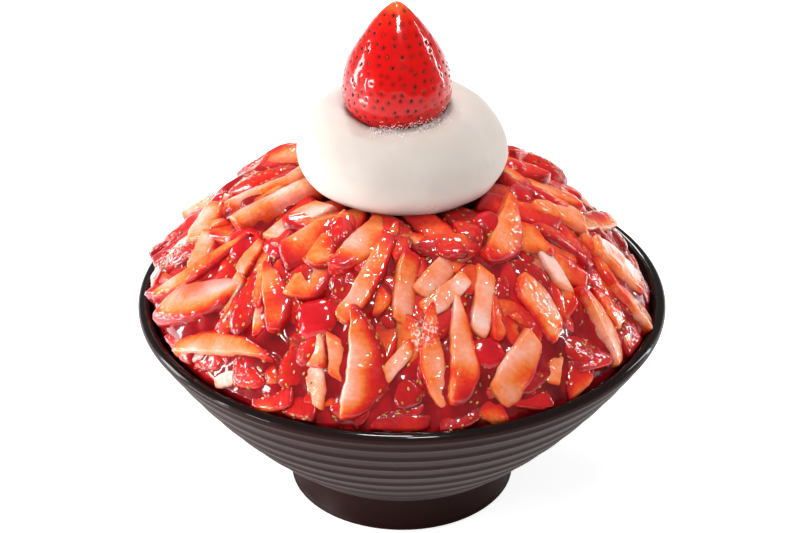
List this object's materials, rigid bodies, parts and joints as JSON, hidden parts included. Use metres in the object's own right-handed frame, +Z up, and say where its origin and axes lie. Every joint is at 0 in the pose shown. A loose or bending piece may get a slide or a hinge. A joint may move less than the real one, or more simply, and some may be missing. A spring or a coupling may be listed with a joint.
{
  "type": "strawberry bingsu in a bowl",
  "caption": "Shaved ice heaped with cut strawberries in syrup, a scoop of ice cream and a whole strawberry, in a dark ridged bowl.",
  "frame": {"origin": "on the bowl's axis, at the plane of its foot ring", "axes": "+Z up the bowl's axis, -Y towards the front"},
  "size_m": [0.19, 0.19, 0.1902],
  "materials": {
    "bowl": "dark satin stoneware glaze, glossy on the lip and inside",
    "fruit": "wet cut strawberries in clear red syrup",
    "ice_cream": "smooth milk ice cream",
    "strawberry": "glossy whole strawberry"
  },
  "bodies": {
    "root": {"bowl": "bowl", "fruit_heap": "fruit", "ice_cream": "ice_cream", "strawberry": "strawberry"}
  },
  "joints": []
}
